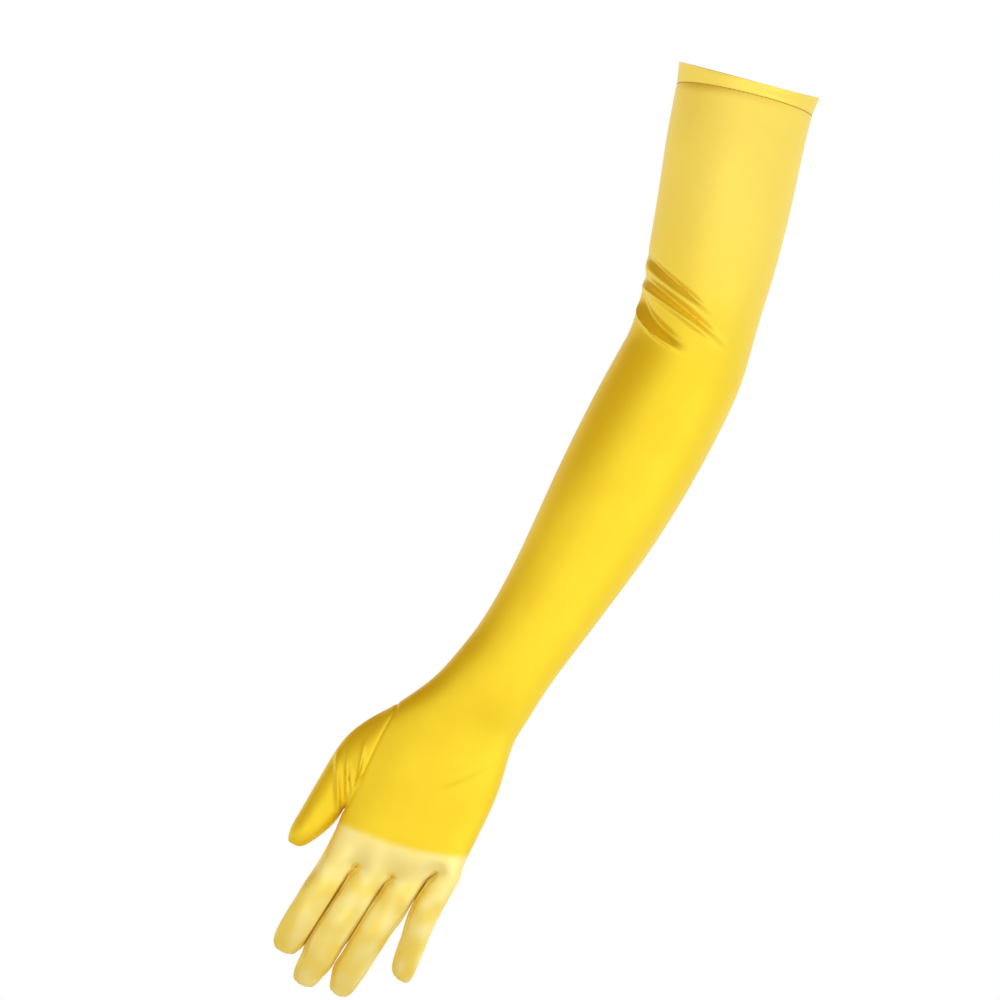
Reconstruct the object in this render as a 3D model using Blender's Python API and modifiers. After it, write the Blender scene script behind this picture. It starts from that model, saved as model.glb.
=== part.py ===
"""A long satin dress glove for the left hand, shaped as it sits on an arm with the elbow a little bent.

The glove hangs from its cuff. The origin is the centre of the cuff's opening, +Z runs up from the middle
fingertip to that centre, the back of the hand faces -Y, and the thumb is on the -X side.
All sizes are in metres and all angles in degrees.
"""

import math
from collections import namedtuple

import bmesh
import bpy
from mathutils import Vector

# Lengths down the glove, from the cuff's edge to the wrist, to the finger roots and to the fingertips.
SLEEVE_LENGTH = 0.320
PALM_LENGTH = 0.137
FINGER_LENGTH = 0.071

# Widths and depths of the arm, the hand and the fingers.
CUFF_WIDTH = 0.0755
FOREARM_WIDTH = 0.0670
WRIST_WIDTH = 0.0478
FINGER_WIDTH = 0.0180
FINGER_DEPTH = 0.0168
PALM_DEPTH = 0.0290

# The elbow's bend takes the arm this far off the straight line from cuff to fingertip.
ELBOW_BOW = 0.0337

# The fingers lie side by side, and the middle one leans with the hand.
FINGER_GAP = 0.0009
MIDDLE_LEAN = -8.3
FINGER_TAPER = 0.03
FINGER_CURL = 0.0075

# The thumb goes this far down from the top of its seam and out from the side of the hand.
THUMB_DROP = 0.0885
THUMB_REACH = 0.0198
THUMB_DEPTH = 0.0225

# The satin's wall and the doubled hem, which stands a little proud and has a softened edge.
CLOTH = 0.0012
HEM_HEIGHT = 0.0080
HEM_PROUD = 0.0003
HEM_EDGE = 0.0004

# The gap between two sewn pieces. At a sharp corner it is widened no further than this sine allows.
SEAM_GAP = 0.0004
CORNER_LIMIT = 0.4

# How finely the coarse cage is made, before it is subdivided once.
LEVELS = 1
SLEEVE_STEP = 0.031
FOLD_STEP = 0.0068
FOLD_MARGIN = 0.03
FINGER_RINGS = (0.09, 0.32, 0.56, 0.79, 0.955)
FINGER_SIDES = 6
SHARP_ANGLE = 50.0

SATIN_YELLOW = (0.93, 0.66, 0.06, 1.0)
SATIN_ROUGHNESS = 0.38

Section = namedtuple("Section", "down bow follows wide deep lift")
# The arm from cuff to wrist. down is a share of SLEEVE_LENGTH, bow of ELBOW_BOW, and wide of the width that
# the row follows. deep and lift, the section's shift towards the palm, are shares of the section's width.
SLEEVE = (
    Section(0.000, 0.000, CUFF_WIDTH, 1.000, 0.96, 0.00),
    Section(0.025, 0.048, CUFF_WIDTH, 0.956, 0.97, 0.00),
    Section(0.063, 0.122, CUFF_WIDTH, 0.947, 0.98, 0.00),
    Section(0.125, 0.295, CUFF_WIDTH, 0.948, 0.99, 0.01),
    Section(0.200, 0.498, CUFF_WIDTH, 0.914, 1.00, 0.02),
    Section(0.275, 0.670, CUFF_WIDTH, 0.892, 1.02, 0.03),
    Section(0.350, 0.835, CUFF_WIDTH, 0.840, 1.06, 0.05),
    Section(0.400, 0.925, FOREARM_WIDTH, 0.940, 1.06, 0.06),
    Section(0.450, 0.995, FOREARM_WIDTH, 0.962, 1.03, 0.06),
    Section(0.500, 1.000, FOREARM_WIDTH, 0.994, 0.99, 0.05),
    Section(0.550, 0.985, FOREARM_WIDTH, 1.002, 0.97, 0.04),
    Section(0.625, 0.962, FOREARM_WIDTH, 0.992, 0.95, 0.02),
    Section(0.700, 0.930, FOREARM_WIDTH, 0.962, 0.93, 0.00),
    Section(0.775, 0.888, FOREARM_WIDTH, 0.905, 0.90, -0.01),
    Section(0.850, 0.825, FOREARM_WIDTH, 0.822, 0.87, -0.02),
    Section(0.925, 0.752, WRIST_WIDTH, 1.058, 0.84, -0.02),
    Section(1.000, 0.650, WRIST_WIDTH, 1.000, 0.82, 0.00),
)

PalmSection = namedtuple("PalmSection", "down bow wide deep lift flat")
# The hand from wrist to finger roots. down is a share of PALM_LENGTH, bow of ELBOW_BOW, wide of the knuckles'
# width, deep and lift of PALM_DEPTH, and flat goes from the wrist's round section to the palm's flat one.
PALM = (
    PalmSection(0.110, 0.565, 0.737, 1.30, 0.02, 0.10),
    PalmSection(0.215, 0.492, 0.772, 1.22, 0.06, 0.28),
    PalmSection(0.300, 0.382, 0.830, 1.15, 0.12, 0.48),
    PalmSection(0.390, 0.298, 0.965, 1.10, 0.17, 0.72),
    PalmSection(0.520, 0.316, 1.006, 1.05, 0.21, 0.92),
    PalmSection(0.660, 0.314, 1.004, 1.01, 0.26, 1.00),
    PalmSection(0.817, 0.322, 0.995, 0.92, 0.27, 1.00),
)
# The thumb's opening lies between these rows of the table.
THUMB_FIRST_ROW = 3
THUMB_LAST_ROW = 6

# The flat section is a bow: its ends keep this much less of its depth, and the power sets how late it thins.
FLAT_THINNING = 0.55
FLAT_POWER = 3.2

# The row where the fingers part sits this far towards the palm. At the webs and at the hand's two edges it is
# this deep, as shares of the fingers' depth, and the row above keeps this much of the palm's depth there.
ROOT_LIFT = 0.24
WEB_DEPTH = 0.62
EDGE_DEPTH = 0.50
WEB_FULLNESS = 0.35

Finger = namedtuple("Finger", "name wide pinch deep long root splay curl")
# wide, deep and long are shares of FINGER_WIDTH, FINGER_DEPTH and FINGER_LENGTH, and root of PALM_LENGTH.
# pinch is how much of its width a finger keeps at its root, and splay the angle that opens between a finger
# and its neighbour on the middle finger's side, from SPLAY_START of its length on.
FINGERS = (
    Finger("index", 0.995, 1.00, 1.00, 0.832, 0.990, 0.0, 0.7),
    Finger("middle", 0.980, 1.00, 1.02, 0.975, 1.000, 0.0, 1.0),
    Finger("ring", 0.925, 1.00, 0.98, 1.000, 0.965, 0.0, 1.3),
    Finger("little", 0.825, 0.85, 0.84, 0.880, 0.880, 11.0, 1.5),
)
PINCH_END = 0.32
SPLAY_START = 0.34
MIDDLE = 1

Phalanx = namedtuple("Phalanx", "along wide deep aside")
# How a finger swells at its joints, rounds off at its tip and turns aside towards the little finger. wide and
# deep are shares of its tapering width and depth, and aside of FINGER_WIDTH.
FINGER_PROFILE = (
    Phalanx(0.00, 1.00, 1.00, 0.00),
    Phalanx(0.25, 0.98, 0.96, -0.01),
    Phalanx(0.42, 1.00, 1.00, -0.02),
    Phalanx(0.60, 0.98, 0.93, 0.00),
    Phalanx(0.72, 0.98, 0.92, 0.01),
    Phalanx(0.84, 0.95, 0.84, 0.03),
    Phalanx(0.93, 0.84, 0.70, 0.06),
    Phalanx(1.00, 0.46, 0.36, 0.10),
)

ThumbRing = namedtuple("ThumbRing", "outer_out outer_down inner_out inner_down lift deep")
# The thumb's rings fan out from the web. out is a share of THUMB_REACH from the side of the hand, down of
# THUMB_DROP from the top of the thumb's seam, and lift and deep of THUMB_DEPTH.
THUMB = (
    ThumbRing(0.24, 0.085, 0.03, 0.680, 0.30, 1.02),
    ThumbRing(0.54, 0.190, 0.05, 0.700, 0.37, 1.03),
    ThumbRing(0.82, 0.320, 0.07, 0.720, 0.43, 1.00),
    ThumbRing(0.89, 0.500, 0.12, 0.760, 0.47, 0.93),
    ThumbRing(0.95, 0.710, 0.22, 0.840, 0.47, 0.82),
    ThumbRing(1.00, 0.890, 0.42, 0.940, 0.44, 0.66),
    ThumbRing(0.93, 1.000, 0.66, 1.010, 0.40, 0.38),
)

SleeveFold = namedtuple("SleeveFold", "turn_a down_a turn_b down_b wide high")
# Ridges that gather in the crook of the elbow. turn is the angle round the arm from the thumb's side towards
# the back of the hand, down a share of SLEEVE_LENGTH, and wide and high shares of FOREARM_WIDTH.
SLEEVE_FOLDS = (
    SleeveFold(-12.0, 0.338, 100.0, 0.382, 0.045, 0.020),
    SleeveFold(-24.0, 0.369, 124.0, 0.418, 0.048, 0.030),
    SleeveFold(-28.0, 0.396, 84.0, 0.452, 0.045, 0.022),
)
# A fold rises sooner than it runs out, and the cloth dips beside it by this share of its height.
FOLD_RISE = 0.6
FOLD_DIP = 0.9


class Piece:
    """The glove's sewn pieces, as the cage's faces are marked with them."""

    HEM = 0
    SLEEVE = 1
    TRANK = 2
    FOURCHETTES = (3, 4, 5)
    THUMB = 6


PIECE_NAMES = {
    Piece.HEM: "hem_band",
    Piece.SLEEVE: "sleeve",
    Piece.TRANK: "trank",
    Piece.FOURCHETTES[0]: "fourchette_index_middle",
    Piece.FOURCHETTES[1]: "fourchette_middle_ring",
    Piece.FOURCHETTES[2]: "fourchette_ring_little",
    Piece.THUMB: "thumb",
}

# A ring of the cage has this many points on the back of the hand, and as many on the palm side.
BACK_POINTS = 2 * len(FINGERS) + 1
RING_POINTS = 2 * BACK_POINTS


def clear_scene():
    for obj in list(bpy.data.objects):
        bpy.data.objects.remove(obj)


def swell(count):
    """Subdividing pulls a ring of count points inwards, so its cage is made this much larger."""
    return 1 / (0.75 + 0.25 * math.cos(2 * math.pi / count))


def curve_value(rows, key, column, at):
    """A smooth curve through one column of a table, read at a value of its key column."""
    keys = [getattr(row, key) for row in rows]
    values = [getattr(row, column) for row in rows]
    i = max(k for k in range(len(keys) - 1) if k == 0 or keys[k] <= at)

    def slope(k):
        low, high = max(k - 1, 0), min(k + 1, len(keys) - 1)
        return (values[high] - values[low]) / (keys[high] - keys[low])

    span = keys[i + 1] - keys[i]
    t = (at - keys[i]) / span
    return (
        (2 * t**3 - 3 * t**2 + 1) * values[i]
        + (t**3 - 2 * t**2 + t) * span * slope(i)
        + (3 * t**2 - 2 * t**3) * values[i + 1]
        + (t**3 - t**2) * span * slope(i + 1)
    )


# The sleeve and its sections

SleeveWidth = namedtuple("SleeveWidth", "down width")
SLEEVE_WIDTHS = tuple(SleeveWidth(s.down, s.follows * s.wide) for s in SLEEVE)


def sleeve_centre(down):
    """The arm's centre line at a share of the sleeve's length."""
    width = curve_value(SLEEVE_WIDTHS, "down", "width", down)
    x = ELBOW_BOW * curve_value(SLEEVE, "down", "bow", down)
    y = width * curve_value(SLEEVE, "down", "lift", down)
    return Vector((x, y, -SLEEVE_LENGTH * down))


def ring_angle(index):
    """Point 0 lies just behind the thumb's side, and the points run across the back of the hand first."""
    return math.radians(180 + (index + 0.5) * 360 / RING_POINTS)


def sleeve_ring(down):
    """One section of the arm, square to its centre line."""
    step = 0.01
    low, high = max(down - step, 0), min(down + step, 1)
    along = sleeve_centre(high) - sleeve_centre(low)
    tilt = math.atan2(along.x, -along.z)
    across = Vector((math.cos(tilt), 0, math.sin(tilt)))
    width = curve_value(SLEEVE_WIDTHS, "down", "width", down)
    depth = width * curve_value(SLEEVE, "down", "deep", down)
    centre = sleeve_centre(down)
    points = []
    for index in range(RING_POINTS):
        angle = ring_angle(index)
        side = across * math.cos(angle) * width / 2
        back = Vector((0, math.sin(angle) * depth / 2, 0))
        points.append(centre + (side + back) * swell(RING_POINTS))
    return points


def fold_zone():
    """The shares of the sleeve's length between which it is gathered."""
    start = min(fold.down_a for fold in SLEEVE_FOLDS) - FOLD_MARGIN
    end = max(fold.down_b for fold in SLEEVE_FOLDS) + FOLD_MARGIN
    return start, end


def sleeve_stations():
    """Shares of the sleeve's length where the cage has a ring. They are close together at the folds."""
    fold_start, fold_end = fold_zone()
    hem = (HEM_HEIGHT + SEAM_GAP) / SLEEVE_LENGTH
    stations = [0.0, hem]
    for start, end, step in (
        (hem, fold_start, SLEEVE_STEP),
        (fold_start, fold_end, FOLD_STEP),
        (fold_end, 1.0, SLEEVE_STEP),
    ):
        count = max(1, round((end - start) * SLEEVE_LENGTH / step))
        stations += [start + (end - start) * (i + 1) / count for i in range(count)]
    return stations


# The fingers' places and sections


def smooth_step(t):
    t = min(max(t, 0.0), 1.0)
    return t * t * (3 - 2 * t)


def finger_width(finger, fall):
    """A finger's width at a distance below its root, without its joints' swelling and its rounded tip."""
    length = FINGER_LENGTH * finger.long
    pinched = finger.pinch + (1 - finger.pinch) * smooth_step(fall / (PINCH_END * length))
    return FINGER_WIDTH * finger.wide * pinched * (1 - FINGER_TAPER * fall / length)


def root_z(finger):
    return -SLEEVE_LENGTH - PALM_LENGTH * finger.root


def knuckle_width():
    return sum(FINGER_WIDTH * f.wide * f.pinch for f in FINGERS) + FINGER_GAP * (len(FINGERS) - 1)


def finger_x(number, z):
    """A finger's centre at a height. The middle one leans, and each other one lies against its neighbour."""
    finger = FINGERS[number]
    if number == MIDDLE:
        left = ELBOW_BOW * PALM[-1].bow - knuckle_width() / 2
        before = sum(FINGER_WIDTH * f.wide + FINGER_GAP for f in FINGERS[:MIDDLE])
        middle = left + before + FINGER_WIDTH * finger.wide / 2
        return middle + math.tan(math.radians(MIDDLE_LEAN)) * (root_z(finger) - z)
    side = 1 if number > MIDDLE else -1
    neighbour = FINGERS[number - side]
    widths = finger_width(finger, root_z(finger) - z) + finger_width(neighbour, root_z(neighbour) - z)
    opened = max(root_z(finger) - z - SPLAY_START * FINGER_LENGTH * finger.long, 0)
    apart = widths / 2 + FINGER_GAP + math.tan(math.radians(finger.splay)) * opened
    return finger_x(number - side, z) + side * apart


def finger_ring(number, roots, along):
    """Six points round a finger, below its roots in the root row. along is 0 there and 1 at the tip."""
    finger = FINGERS[number]
    tip = root_z(finger) - FINGER_LENGTH * finger.long
    wide = curve_value(FINGER_PROFILE, "along", "wide", along)
    deep = curve_value(FINGER_PROFILE, "along", "deep", along)
    ring = []
    for index, root in enumerate(roots):
        angle = math.pi + 2 * math.pi * (index + 0.5) / FINGER_SIDES
        z = root.z + (tip - root.z) * along
        fall = root_z(finger) - z
        half_width = finger_width(finger, fall) / 2 * wide * swell(FINGER_SIDES)
        x = finger_x(number, z) + FINGER_WIDTH * curve_value(FINGER_PROFILE, "along", "aside", along)
        depth = FINGER_DEPTH * finger.deep * (1 - FINGER_TAPER * along)
        half_depth = depth / 2 * deep * swell(FINGER_SIDES)
        y = PALM_DEPTH * ROOT_LIFT + FINGER_CURL * finger.curl * along**2
        ring.append(Vector((x + math.cos(angle) * half_width, y + math.sin(angle) * half_depth, z)))
    return ring


def crotch_z(column):
    """The height of the root row at a column of points: even columns lie between two fingers."""
    if column % 2:
        return root_z(FINGERS[column // 2])
    beside = [FINGERS[n] for n in (column // 2 - 1, column // 2) if 0 <= n < len(FINGERS)]
    return max(root_z(f) for f in beside)


def root_row():
    """The ring of points where the fingers part, which runs up and down with the webs between them."""
    points = [None] * RING_POINTS
    for column in range(BACK_POINTS):
        number = min(column // 2, len(FINGERS) - 1)
        finger = FINGERS[number]
        z = crotch_z(column)
        half = finger_width(finger, 0) / 2
        edge = half * math.cos(math.pi / FINGER_SIDES) * swell(FINGER_SIDES)
        centre = finger_x(number, z)
        if column % 2:
            x, share = centre, 1.0
        elif column == 0:
            x, share = centre - edge, EDGE_DEPTH
        elif column == BACK_POINTS - 1:
            x, share = centre + edge, EDGE_DEPTH
        else:
            x, share = centre - half - FINGER_GAP / 2, WEB_DEPTH
        depth = FINGER_DEPTH * finger.deep / 2 * swell(FINGER_SIDES) * share
        middle = PALM_DEPTH * ROOT_LIFT
        points[column] = Vector((x, middle - depth, z))
        points[RING_POINTS - 1 - column] = Vector((x, middle + depth, z))
    return points


# The palm


def palm_rows():
    """Rings from just below the wrist to just above the finger roots."""
    wrist = sleeve_ring(1.0)
    centre = sleeve_centre(1.0)
    width = WRIST_WIDTH * SLEEVE[-1].wide
    depth = width * SLEEVE[-1].deep
    round_shape = [((p.x - centre.x) / width, (p.y - centre.y) / depth, p.z - centre.z) for p in wrist]
    roots = root_row()
    left, right = roots[0].x, roots[BACK_POINTS - 1].x
    flat_shape = []
    for index in range(RING_POINTS):
        column = min(index, RING_POINTS - 1 - index)
        share = (roots[column].x - left) / (right - left) - 0.5
        bulge = 0.5 * (1 - abs(2 * share) ** FLAT_POWER * FLAT_THINNING) * swell(RING_POINTS)
        flat_shape.append((share * swell(RING_POINTS), -bulge if index < BACK_POINTS else bulge, 0.0))
    rows = []
    for section in PALM:
        z = -SLEEVE_LENGTH - PALM_LENGTH * section.down
        middle = Vector((ELBOW_BOW * section.bow, PALM_DEPTH * section.lift, z))
        row = []
        for a, b in zip(round_shape, flat_shape):
            across, deep, down = (p + (q - p) * section.flat for p, q in zip(a, b))
            x = across * knuckle_width() * section.wide
            row.append(middle + Vector((x, deep * PALM_DEPTH * section.deep, down)))
        rows.append(row)
    blend = [(a + b) / 2 for a, b in zip(rows[-1], roots)]
    for index, point in enumerate(blend):
        column = min(index, RING_POINTS - 1 - index)
        if column % 2 == 0 and 0 < column < BACK_POINTS - 1:
            point.y += (rows[-1][index].y - point.y) * WEB_FULLNESS
    return rows + [blend, roots]


# The thumb


def thumb_loop():
    """Where the thumb's piece is sewn in: (row, point) of the palm's rings, round its opening."""
    first, last = THUMB_FIRST_ROW, THUMB_LAST_ROW
    back, side, palm = 0, RING_POINTS - 1, RING_POINTS - 2
    loop = [(row, back) for row in range(first, last + 1)]
    loop += [(last, side)]
    loop += [(row, palm) for row in range(last, first - 1, -1)]
    loop += [(first, side)]
    return loop


def thumb_rings(side_x, top_z):
    """Rings down the thumb, each with its opening's count of points, from the top on the back of the hand."""
    count = len(thumb_loop())
    rings = []
    for row in THUMB:
        outer = Vector((side_x - THUMB_REACH * row.outer_out, 0, top_z - THUMB_DROP * row.outer_down))
        inner = Vector((side_x - THUMB_REACH * row.inner_out, 0, top_z - THUMB_DROP * row.inner_down))
        centre = (outer + inner) / 2 + Vector((0, THUMB_DEPTH * row.lift, 0))
        half = (outer - inner) / 2
        depth = THUMB_DEPTH * row.deep / 2
        ring = []
        for index in range(count):
            angle = 2 * math.pi * (index + 1) / count
            palmward = Vector((0, depth * math.sin(angle), 0))
            ring.append(centre + (half * math.cos(angle) - palmward) * swell(count))
        rings.append(ring)
    return rings


# The cage of the whole glove


def add_ring(mesh, points):
    return [mesh.verts.new(point) for point in points]


def add_face(mesh, corners, piece):
    face = mesh.faces.new(corners)
    face.material_index = piece
    face.smooth = True
    return face


def bridge(mesh, upper, lower, piece_of):
    """Faces between two rings of one tube. piece_of gives each face's piece, or None to leave it out."""
    count = len(upper)
    for index in range(count):
        after = (index + 1) % count
        piece = piece_of(index)
        if piece is not None:
            add_face(mesh, (upper[index], lower[index], lower[after], upper[after]), piece)


def close_tip(mesh, ring, piece):
    """Closes a tube's end with strips that run from its back to its palm side."""
    count = len(ring)
    for index in range(count // 2 - 1):
        across = ring[count - 1 - index], ring[count - 2 - index]
        add_face(mesh, (ring[index], *across, ring[index + 1]), piece)


def cage_sleeve(mesh):
    stations = sleeve_stations()
    rings = [add_ring(mesh, sleeve_ring(down)) for down in stations]
    for number, (upper, lower) in enumerate(zip(rings, rings[1:])):
        piece = Piece.HEM if number == 0 else Piece.SLEEVE
        bridge(mesh, upper, lower, lambda index, piece=piece: piece)
    return rings[-1]


def cage_palm(mesh, wrist):
    rings = [add_ring(mesh, row) for row in palm_rows()]
    bridge(mesh, wrist, rings[0], lambda index: Piece.TRANK)
    opening = (RING_POINTS - 1, RING_POINTS - 2)
    for number, (upper, lower) in enumerate(zip(rings, rings[1:])):
        open_here = THUMB_FIRST_ROW <= number < THUMB_LAST_ROW
        bridge(
            mesh,
            upper,
            lower,
            lambda index, open_here=open_here: None if open_here and index in opening else Piece.TRANK,
        )
    return rings


def cage_fingers(mesh, roots):
    last = RING_POINTS - 1
    for number in range(len(FINGERS)):
        columns = [2 * number, 2 * number + 1, 2 * number + 2]
        upper = [roots[c] for c in columns] + [roots[last - c] for c in reversed(columns)]
        starts = [v.co.copy() for v in upper]
        toward_little = Piece.FOURCHETTES[number] if number < len(FINGERS) - 1 else Piece.TRANK
        toward_thumb = Piece.FOURCHETTES[number - 1] if number > 0 else Piece.TRANK
        sides = {2: toward_little, 5: toward_thumb}
        for along in FINGER_RINGS:
            lower = add_ring(mesh, finger_ring(number, starts, along))
            bridge(mesh, upper, lower, lambda index, sides=sides: sides.get(index, Piece.TRANK))
            upper = lower
        close_tip(mesh, upper, Piece.TRANK)


def cage_thumb(mesh, palm_rings):
    upper = [palm_rings[row][point] for row, point in thumb_loop()]
    top = palm_rings[THUMB_FIRST_ROW][0].co
    side = palm_rings[THUMB_LAST_ROW][0].co
    for points in thumb_rings(side.x, top.z):
        lower = add_ring(mesh, points)
        bridge(mesh, upper, lower, lambda index: Piece.THUMB)
        upper = lower
    close_tip(mesh, upper, Piece.THUMB)


def glove_surface():
    """The whole glove as one smooth open surface, whose faces are marked with their pieces."""
    cage = bmesh.new()
    wrist = cage_sleeve(cage)
    palm_rings = cage_palm(cage, wrist)
    cage_fingers(cage, palm_rings[-1])
    cage_thumb(cage, palm_rings)
    bmesh.ops.recalc_face_normals(cage, faces=cage.faces)
    mesh = bpy.data.meshes.new("glove_cage")
    cage.to_mesh(mesh)
    cage.free()
    for name in PIECE_NAMES.values():
        mesh.materials.append(bpy.data.materials.new(name))
    guide = bpy.data.objects.new("glove_cage", mesh)
    bpy.context.scene.collection.objects.link(guide)
    smooth = guide.modifiers.new("Smooth", "SUBSURF")
    smooth.levels = smooth.render_levels = LEVELS
    bpy.context.view_layer.update()
    evaluated = guide.evaluated_get(bpy.context.evaluated_depsgraph_get())
    surface = bmesh.new()
    surface.from_mesh(evaluated.to_mesh())
    evaluated.to_mesh_clear()
    bpy.data.objects.remove(guide)
    return surface


def gather_elbow(surface):
    """Raises the folds in the crook of the elbow, along straight lines on the unrolled sleeve."""
    surface.normal_update()
    zone_start, zone_end = fold_zone()
    moves = {}
    for vert in surface.verts:
        down = -vert.co.z / SLEEVE_LENGTH
        if not zone_start < down < zone_end:
            continue
        centre = sleeve_centre(down)
        offset = vert.co - centre
        turn = math.degrees(math.atan2(-offset.y, -offset.x))
        here = Vector((math.radians(turn) * FOREARM_WIDTH / 2, down * SLEEVE_LENGTH))
        rise = 0.0
        for fold in SLEEVE_FOLDS:
            start = Vector((math.radians(fold.turn_a) * FOREARM_WIDTH / 2, fold.down_a * SLEEVE_LENGTH))
            end = Vector((math.radians(fold.turn_b) * FOREARM_WIDTH / 2, fold.down_b * SLEEVE_LENGTH))
            line = end - start
            share = (here - start).dot(line) / line.length_squared
            if not 0 < share < 1:
                continue
            away = (here - start - line * share).length / (FOREARM_WIDTH * fold.wide)
            fade = math.sin(math.pi * share**FOLD_RISE)
            rise += fold.high * FOREARM_WIDTH * fade * math.exp(-(away**2)) * (1 - FOLD_DIP * away**2)
        moves[vert] = vert.normal * rise
    for vert, move in moves.items():
        vert.co += move


# The sewn pieces


def seam_shift(vert, faces):
    """The way from a seam into the piece, along the cloth, by which each side stands back half the gap."""
    inward = Vector()
    for face in faces:
        inward += (face.calc_center_median() - vert.co).normalized()
    rims = [e for e in vert.link_edges if sum(f in faces for f in e.link_faces) == 1]
    inward -= vert.normal * inward.dot(vert.normal)
    if len(rims) != 2:
        return inward.normalized() * (SEAM_GAP / 2)
    ways = [(e.other_vert(vert).co - vert.co).normalized() for e in rims]
    along = (ways[1] - ways[0]).normalized()
    inward -= along * inward.dot(along)
    corner = max(math.sin(ways[0].angle(ways[1]) / 2), CORNER_LIMIT)
    return inward.normalized() * (SEAM_GAP / 2 / corner)


def add_rim(cloth, outer, inner, a, b):
    """The cut edge of the cloth between two points. Both sides of a seam split it the same way."""
    if (a.co.z, a.co.y, a.co.x) < (b.co.z, b.co.y, b.co.x):
        cloth.faces.new([outer[b], outer[a], inner[b]])
        cloth.faces.new([outer[a], inner[a], inner[b]])
    else:
        cloth.faces.new([outer[b], outer[a], inner[a]])
        cloth.faces.new([outer[b], inner[a], inner[b]])


def cut_piece(surface, piece, proud, wall):
    """One piece of cloth as a closed wall. It shares the glove's normals, so its seams stay parallel."""
    faces = {f for f in surface.faces if f.material_index == piece}
    cloth = bmesh.new()
    outer, inner = {}, {}
    for face in sorted(faces, key=lambda f: f.index):
        for vert in face.verts:
            if vert in outer:
                continue
            mine = {f for f in vert.link_faces if f in faces}
            sewn = len(mine) < len(vert.link_faces)
            shift = seam_shift(vert, mine) if sewn else Vector()
            outer[vert] = cloth.verts.new(vert.co + vert.normal * proud + shift)
            inner[vert] = cloth.verts.new(vert.co + vert.normal * (proud - wall) + shift)
    for face in sorted(faces, key=lambda f: f.index):
        cloth.faces.new([outer[v] for v in face.verts]).smooth = True
        cloth.faces.new([inner[v] for v in reversed(face.verts)]).smooth = True
        for loop in face.loops:
            if sum(f in faces for f in loop.edge.link_faces) == 1:
                add_rim(cloth, outer, inner, loop.vert, loop.link_loop_next.vert)
    return cloth


def satin():
    material = bpy.data.materials.new("yellow_satin")
    material.use_nodes = True
    shader = material.node_tree.nodes["Principled BSDF"]
    shader.inputs["Base Color"].default_value = SATIN_YELLOW
    shader.inputs["Roughness"].default_value = SATIN_ROUGHNESS
    shader.inputs["Metallic"].default_value = 0.0
    material.diffuse_color = SATIN_YELLOW
    return material


def make_glove():
    clear_scene()
    collection = bpy.data.collections.new("long_satin_glove")
    bpy.context.scene.collection.children.link(collection)
    surface = glove_surface()
    gather_elbow(surface)
    surface.normal_update()
    surface.faces.index_update()
    material = satin()
    for piece, name in PIECE_NAMES.items():
        doubled = piece == Piece.HEM
        cloth = cut_piece(surface, piece, HEM_PROUD if doubled else 0, CLOTH * 2 if doubled else CLOTH)
        mesh = bpy.data.meshes.new(name)
        cloth.to_mesh(mesh)
        cloth.free()
        mesh.materials.append(material)
        mesh.set_sharp_from_angle(angle=math.radians(SHARP_ANGLE))
        obj = bpy.data.objects.new(name, mesh)
        collection.objects.link(obj)
        if doubled:
            fold = obj.modifiers.new("Folded edge", "BEVEL")
            fold.width = HEM_EDGE
            fold.segments = 1
            fold.limit_method = "ANGLE"
            fold.angle_limit = math.radians(SHARP_ANGLE)
    surface.free()


make_glove()
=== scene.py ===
"""A long satin dress glove for the left hand, in the shape that it has when worn, its elbow a little bent.

The satin is stretched over a glove maker's form, cut into its sewn pieces along the seams, and each piece
takes the place of its solid in the frame. Everything is in metres, in the frame's own axes: +Z up from the
middle fingertip to the cuff, -Y the way the back of the glove faces, -X the thumb's side.
"""

import math
from collections import namedtuple

import bmesh
import bpy
from mathutils import Matrix, Vector, kdtree, noise


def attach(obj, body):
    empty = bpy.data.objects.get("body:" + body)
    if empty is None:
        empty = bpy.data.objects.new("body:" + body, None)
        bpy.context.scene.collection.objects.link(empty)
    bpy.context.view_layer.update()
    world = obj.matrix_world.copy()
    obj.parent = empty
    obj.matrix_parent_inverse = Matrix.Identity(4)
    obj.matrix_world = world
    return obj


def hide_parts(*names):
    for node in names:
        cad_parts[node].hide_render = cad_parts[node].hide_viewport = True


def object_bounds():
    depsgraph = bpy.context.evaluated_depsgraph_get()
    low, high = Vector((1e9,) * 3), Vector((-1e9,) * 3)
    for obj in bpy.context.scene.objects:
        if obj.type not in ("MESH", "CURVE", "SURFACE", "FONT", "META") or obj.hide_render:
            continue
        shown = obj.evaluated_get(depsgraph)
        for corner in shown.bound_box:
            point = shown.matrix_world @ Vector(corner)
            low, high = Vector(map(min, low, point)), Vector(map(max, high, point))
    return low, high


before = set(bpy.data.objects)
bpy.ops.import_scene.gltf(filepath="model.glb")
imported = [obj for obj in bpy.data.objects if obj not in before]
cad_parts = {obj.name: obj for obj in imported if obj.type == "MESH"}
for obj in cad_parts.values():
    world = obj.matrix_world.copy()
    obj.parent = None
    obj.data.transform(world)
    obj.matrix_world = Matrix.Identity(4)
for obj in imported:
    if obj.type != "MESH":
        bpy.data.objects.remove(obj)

cad_low, cad_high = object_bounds()

# The form under the sleeve.
# A glove maker stretches the sleeve over a wooden form. This one is a coarse cage of rings, square to a curve
# that bows out at the elbow, which is subdivided later into the smooth surface that the satin lies on.

SLEEVE_LENGTH = 0.320
CUFF_WIDTH = 0.0755
FOREARM_WIDTH = 0.0670
WRIST_WIDTH = 0.0478
ELBOW_BOW = 0.0337
HEM_HEIGHT = 0.0082
FOLD_ZONE = (0.305, 0.485)
FOLD_STEP = 0.0068
SLEEVE_STEP = 0.0230
DIRECTION_SPAN = 0.01
BACK_POINTS = 9
RING_POINTS = 2 * BACK_POINTS

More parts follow.
